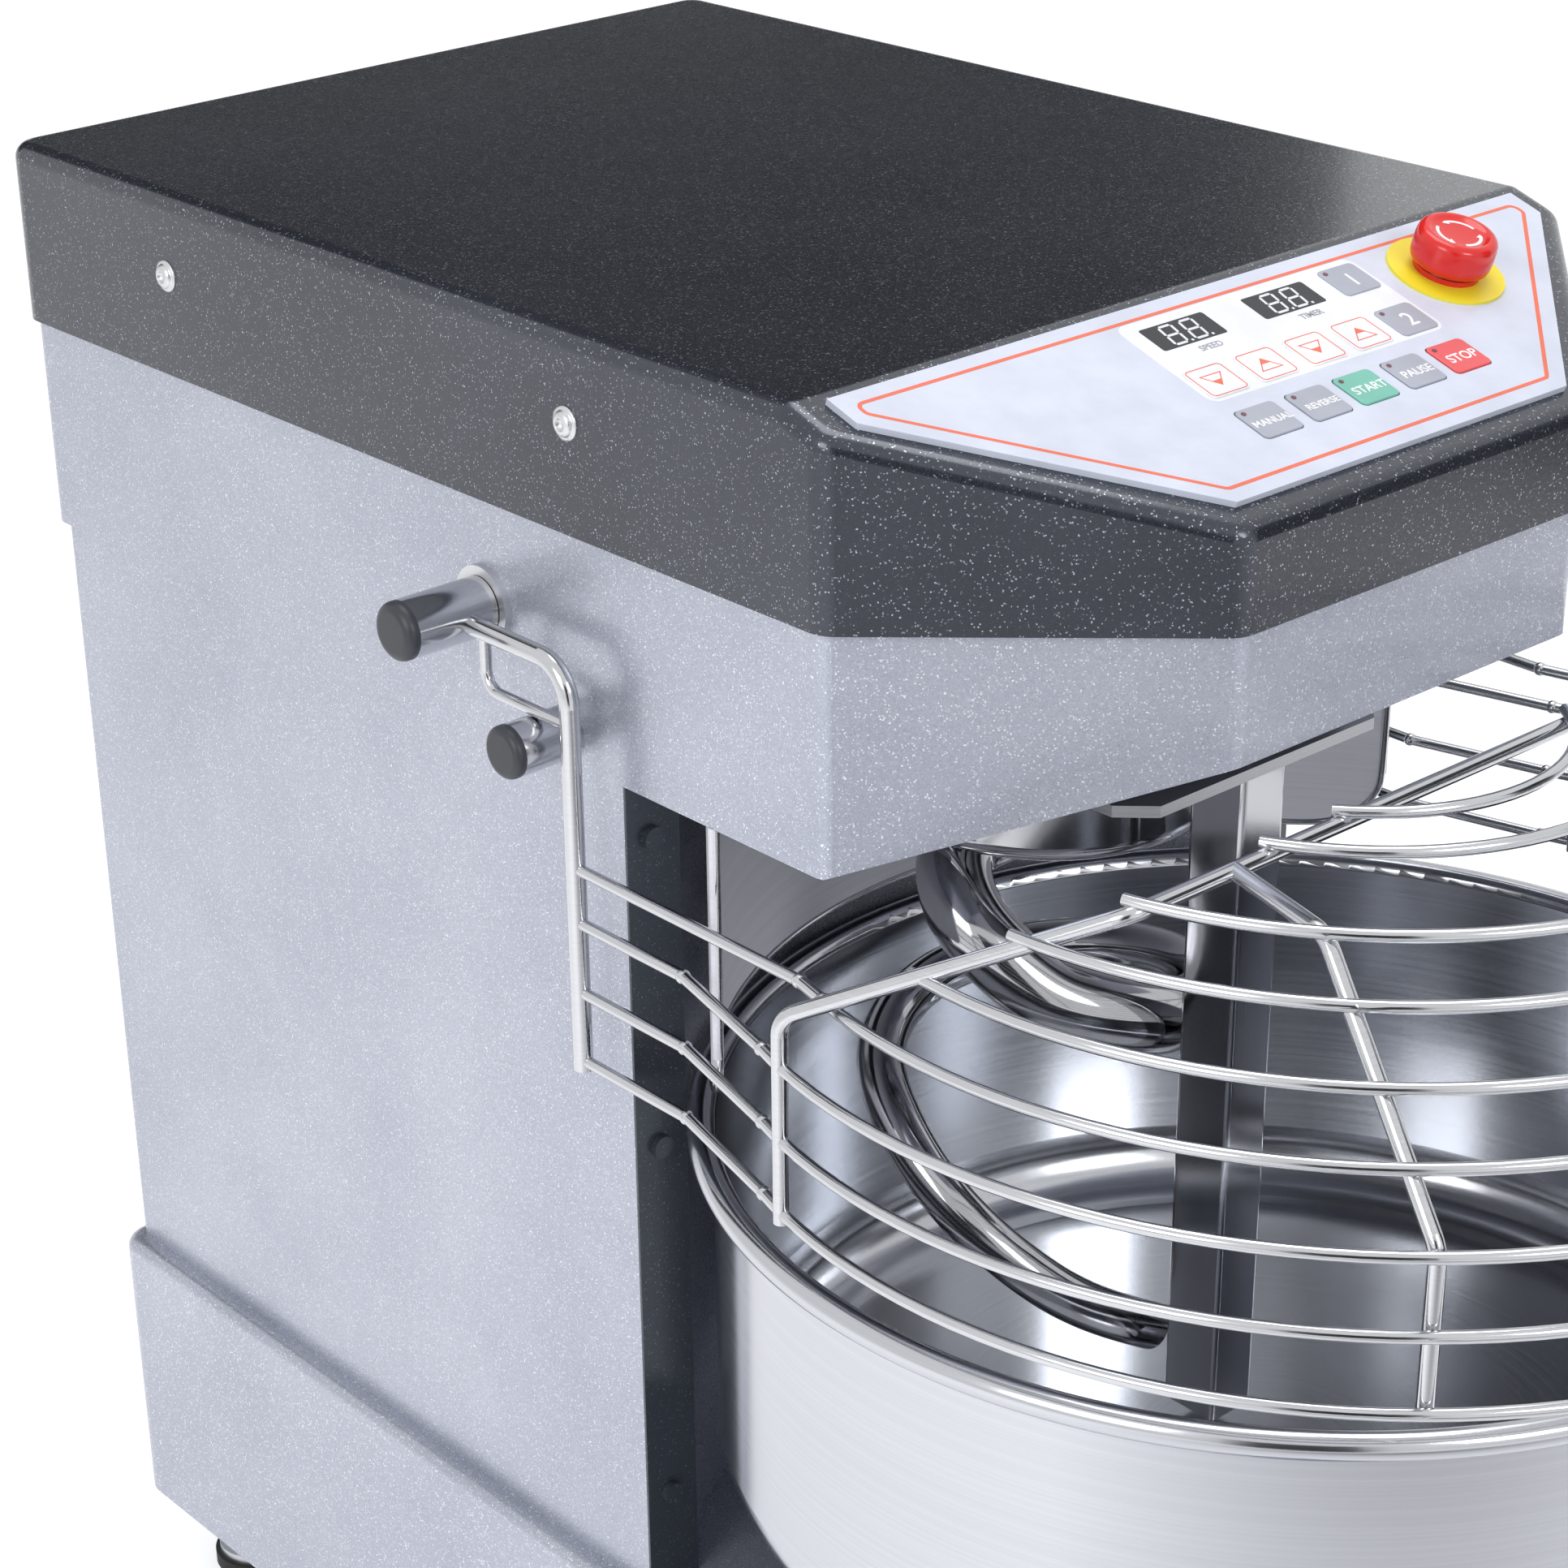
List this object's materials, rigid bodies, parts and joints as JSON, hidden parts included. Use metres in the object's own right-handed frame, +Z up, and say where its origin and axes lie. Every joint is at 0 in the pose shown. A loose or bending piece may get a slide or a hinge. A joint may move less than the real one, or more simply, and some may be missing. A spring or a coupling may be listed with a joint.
{
  "type": "spiral dough mixer",
  "caption": "Floor-standing spiral dough mixer: steel cabinet, turning bowl, spiral hook, square breaker bar, hinged wire guard over the bowl and a sloped key panel with stop button.",
  "frame": {"origin": "on the floor under the middle of the machine's bounding box", "axes": "+Z up, the front (bowl and panel) faces -Y, +X to the right seen from the front"},
  "size_m": [0.606, 1.07, 0.9483],
  "materials": {
    "cover_paint": "satin, metallic fleck",
    "body_paint": "satin, metallic fleck",
    "strip_paint": "satin",
    "stainless": "brushed",
    "polished_steel": "polished",
    "wire": "satin",
    "zinc": "satin",
    "cast": "matt",
    "aluminium": "satin",
    "rubber": "matt",
    "black_plastic": "matt",
    "membrane": "satin",
    "display": "gloss",
    "key_grey": "satin",
    "key_white": "satin",
    "key_green": "satin",
    "key_red": "satin",
    "stop_red": "gloss",
    "stop_yellow": "satin"
  },
  "bodies": {
    "machine_body": {"base_chassis": "body_paint", "foot_pads": "rubber", "levelling_feet": "zinc", "bowl_pedestal": "body_paint", "bowl_bearing_housing": "cast", "bowl_bearings": "zinc", "bowl_motor": "aluminium", "bowl_belt": "rubber", "column_shell": "body_paint", "column_front_strips": "strip_paint", "splash_shield": "stainless", "rear_panel": "body_paint", "rear_panel_screws": "zinc", "cable_gland": "black_plastic", "head_shell": "body_paint", "head_underplate": "stainless", "head_cover": "cover_paint", "cover_screws": "zinc", "bar_flange": "stainless", "breaker_bar": "polished_steel", "bar_bolts": "zinc", "hook_bearing_housing": "cast", "hook_bearings": "zinc", "motor_bracket": "zinc", "spiral_motor": "aluminium", "spiral_belt": "rubber", "electrical_box": "black_plastic", "pivot_pins": "zinc", "stop_hubs": "wire", "stop_caps": "black_plastic", "control_panel": "membrane", "display_windows": "display", "e_stop_disc": "stop_yellow", "e_stop_body": "zinc"},
    "bowl_body": {"bowl": "stainless", "bowl_shaft": "zinc", "bowl_pulley": "cast"},
    "hook_body": {"spiral_hook": "polished_steel", "hook_collar": "stainless", "hook_shaft": "zinc", "hook_pulley": "cast"},
    "bowl_motor_rotor": {"bowl_motor_pulley": "cast"},
    "spiral_motor_rotor": {"spiral_motor_pulley": "cast"},
    "guard": {"guard_cage": "wire", "guard_hub_tubes": "wire", "guard_hub_caps": "black_plastic"},
    "e_stop_button": {"e_stop_head": "stop_red"},
    "speed_one_button": {"speed_one_key": "key_grey"},
    "speed_two_button": {"speed_two_key": "key_grey"},
    "first_timer_down_button": {"first_timer_down_key": "key_white"},
    "first_timer_up_button": {"first_timer_up_key": "key_white"},
    "second_timer_down_button": {"second_timer_down_key": "key_white"},
    "second_timer_up_button": {"second_timer_up_key": "key_white"},
    "manual_button": {"manual_key": "key_grey"},
    "reverse_button": {"reverse_key": "key_grey"},
    "start_button": {"start_key": "key_green"},
    "pause_button": {"pause_key": "key_grey"},
    "stop_button": {"stop_key": "key_red"}
  },
  "joints": [
    {"name": "bowl_spin", "type": "hinge", "parent": "machine_body", "child": "bowl_body", "pos_m": [0, -0.2, 0.3], "axis": [0, 0, 1], "continuous": true},
    {"name": "hook_spin", "type": "hinge", "parent": "machine_body", "child": "hook_body", "pos_m": [0, -0.032, 0.7], "axis": [0, 0, 1], "continuous": true},
    {"name": "bowl_motor_spin", "type": "hinge", "parent": "machine_body", "child": "bowl_motor_rotor", "pos_m": [0, 0.3, 0.13], "axis": [0, 0, 1], "continuous": true},
    {"name": "spiral_motor_spin", "type": "hinge", "parent": "machine_body", "child": "spiral_motor_rotor", "pos_m": [0, 0.33, 0.8], "axis": [0, 0, 1], "continuous": true},
    {"name": "guard_hinge", "type": "hinge", "parent": "machine_body", "child": "guard", "pos_m": [0, 0.112, 0.781], "axis": [-1, 0, 0], "range_deg": [0, 80]},
    {"name": "e_stop_press", "type": "slide", "parent": "machine_body", "child": "e_stop_button", "axis": [0, 0.3143, -0.9493], "range_m": [0, 0.004], "stiffness_N_per_m": 600, "springref_m": -0.002},
    {"name": "speed_one_press", "type": "slide", "parent": "machine_body", "child": "speed_one_button", "axis": [0, 0.3143, -0.9493], "range_m": [0, 0.0004], "stiffness_N_per_m": 400, "springref_m": -0.0003},
    {"name": "speed_two_press", "type": "slide", "parent": "machine_body", "child": "speed_two_button", "axis": [0, 0.3143, -0.9493], "range_m": [0, 0.0004], "stiffness_N_per_m": 400, "springref_m": -0.0003},
    {"name": "first_timer_down_press", "type": "slide", "parent": "machine_body", "child": "first_timer_down_button", "axis": [0, 0.3143, -0.9493], "range_m": [0, 0.0004], "stiffness_N_per_m": 400, "springref_m": -0.0003},
    {"name": "first_timer_up_press", "type": "slide", "parent": "machine_body", "child": "first_timer_up_button", "axis": [0, 0.3143, -0.9493], "range_m": [0, 0.0004], "stiffness_N_per_m": 400, "springref_m": -0.0003},
    {"name": "second_timer_down_press", "type": "slide", "parent": "machine_body", "child": "second_timer_down_button", "axis": [0, 0.3143, -0.9493], "range_m": [0, 0.0004], "stiffness_N_per_m": 400, "springref_m": -0.0003},
    {"name": "second_timer_up_press", "type": "slide", "parent": "machine_body", "child": "second_timer_up_button", "axis": [0, 0.3143, -0.9493], "range_m": [0, 0.0004], "stiffness_N_per_m": 400, "springref_m": -0.0003},
    {"name": "manual_press", "type": "slide", "parent": "machine_body", "child": "manual_button", "axis": [0, 0.3143, -0.9493], "range_m": [0, 0.0004], "stiffness_N_per_m": 400, "springref_m": -0.0003},
    {"name": "reverse_press", "type": "slide", "parent": "machine_body", "child": "reverse_button", "axis": [0, 0.3143, -0.9493], "range_m": [0, 0.0004], "stiffness_N_per_m": 400, "springref_m": -0.0003},
    {"name": "start_press", "type": "slide", "parent": "machine_body", "child": "start_button", "axis": [0, 0.3143, -0.9493], "range_m": [0, 0.0004], "stiffness_N_per_m": 400, "springref_m": -0.0003},
    {"name": "pause_press", "type": "slide", "parent": "machine_body", "child": "pause_button", "axis": [0, 0.3143, -0.9493], "range_m": [0, 0.0004], "stiffness_N_per_m": 400, "springref_m": -0.0003},
    {"name": "stop_press", "type": "slide", "parent": "machine_body", "child": "stop_button", "axis": [0, 0.3143, -0.9493], "range_m": [0, 0.0004], "stiffness_N_per_m": 400, "springref_m": -0.0003}
  ],
  "couplings": [
    {"joint": "bowl_motor_spin", "follows": "bowl_spin", "ratio": 4},
    {"joint": "spiral_motor_spin", "follows": "hook_spin", "ratio": 4}
  ]
}
